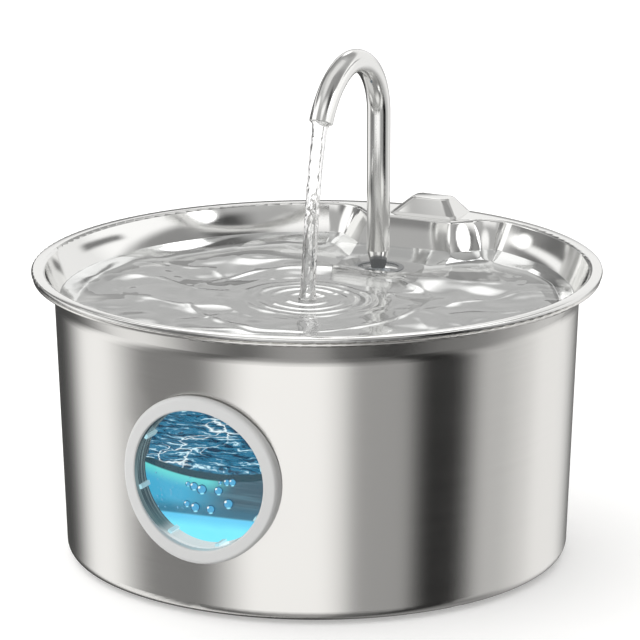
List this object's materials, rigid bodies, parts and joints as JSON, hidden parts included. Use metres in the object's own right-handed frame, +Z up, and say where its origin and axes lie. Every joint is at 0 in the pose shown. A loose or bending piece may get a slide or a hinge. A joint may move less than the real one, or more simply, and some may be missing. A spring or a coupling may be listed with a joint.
{
  "type": "pet water fountain",
  "caption": "Round stainless pet drinking fountain: deep tank with a sight window, lift-off tray with a basin and a bent faucet spout, fed by a small pump.",
  "frame": {"origin": "on the tank's axis, at the surface that the feet stand on", "axes": "+Z up, -Y to the front with the sight window, +Y to the back with the deck and the cable tunnel, +X to the right seen from the front"},
  "size_m": [0.205, 0.205, 0.179],
  "materials": {
    "brushed_steel": "brushed",
    "polished_steel": "polished",
    "spout_steel": "polished",
    "screw_steel": "satin",
    "bezel_plastic": "satin",
    "retainer_plastic": "matte",
    "inner_plastic": "matte",
    "collar_plastic": "matte",
    "pump_plastic": "satin",
    "impeller_plastic": "satin",
    "dial_plastic": "satin",
    "cage_plastic": "satin",
    "lens_clear": "clear",
    "clip_clear": "clear",
    "led_clear": "clear",
    "silicone_grey": "matte",
    "silicone_clear": "satin",
    "ceramic_white": "polished",
    "magnet_black": "matte",
    "core_iron": "laminated",
    "coil_copper": "enamelled",
    "resin_black": "satin",
    "board_green": "satin",
    "foam_grey": "open cell",
    "carbon_black": "granular"
  },
  "bodies": {
    "tank": {"tank_shell": "brushed_steel", "tank_feet": "silicone_grey", "window_bezel": "bezel_plastic", "window_gasket": "silicone_grey", "window_lens": "lens_clear", "lens_retainer": "retainer_plastic", "lens_clips": "clip_clear", "saddle_washer": "inner_plastic", "lock_ring": "inner_plastic", "volute_cover": "pump_plastic", "pump_body": "pump_plastic", "pump_seal": "silicone_grey", "motor_cap": "pump_plastic", "stator_core": "core_iron", "stator_coil": "coil_copper", "motor_resin": "resin_black", "impeller_shaft": "ceramic_white", "shaft_bushes": "silicone_grey", "pump_screws": "screw_steel", "suction_cups": "silicone_clear", "outlet_sleeve": "silicone_clear", "led_board": "board_green", "led_lens": "led_clear", "cable_gland": "silicone_grey", "cable_clip": "silicone_grey"},
    "tray": {"tray_pan": "polished_steel", "drain_collar": "collar_plastic"},
    "bush": {"spout_bush": "silicone_clear"},
    "spout": {"spout_tube": "spout_steel", "spout_tail": "spout_steel"},
    "rotor": {"impeller": "impeller_plastic", "rotor_magnet": "magnet_black"},
    "intake": {"intake_cover": "pump_plastic"},
    "dial": {"flow_dial": "dial_plastic"},
    "cage": {"filter_cage": "cage_plastic"},
    "foam": {"foam_block": "foam_grey"},
    "cartridge": {"cartridge_frame": "inner_plastic", "carbon_media": "carbon_black"}
  },
  "joints": [
    {"name": "tray_lift", "type": "slide", "parent": "tank", "child": "tray", "axis": [0, 0, 1], "range_m": [0, 0.07]},
    {"name": "spout_pull", "type": "slide", "parent": "tray", "child": "bush", "axis": [0, 0, 1], "range_m": [0, 0.04]},
    {"name": "spout_swivel", "type": "hinge", "parent": "bush", "child": "spout", "pos_m": [0, 0.0526, 0.1057], "axis": [0, 0, 1], "continuous": true},
    {"name": "impeller_spin", "type": "hinge", "parent": "tank", "child": "rotor", "pos_m": [0, 0.0526, 0.027], "axis": [0, -1, 0], "continuous": true},
    {"name": "intake_twist", "type": "hinge", "parent": "tank", "child": "intake", "pos_m": [0, 0.046, 0.027], "axis": [0, -1, 0], "range_deg": [0, 30]},
    {"name": "flow_turn", "type": "hinge", "parent": "intake", "child": "dial", "pos_m": [0, 0.046, 0.027], "axis": [0, -1, 0], "range_deg": [0, 90]},
    {"name": "cage_slide", "type": "slide", "parent": "tank", "child": "cage", "axis": [0, -1, 0], "range_m": [0, 0.03]},
    {"name": "foam_lift", "type": "slide", "parent": "cage", "child": "foam", "axis": [0, 0, 1], "range_m": [0, 0.028]},
    {"name": "cartridge_lift", "type": "slide", "parent": "cage", "child": "cartridge", "axis": [0, 0, 1], "range_m": [0, 0.026]}
  ]
}
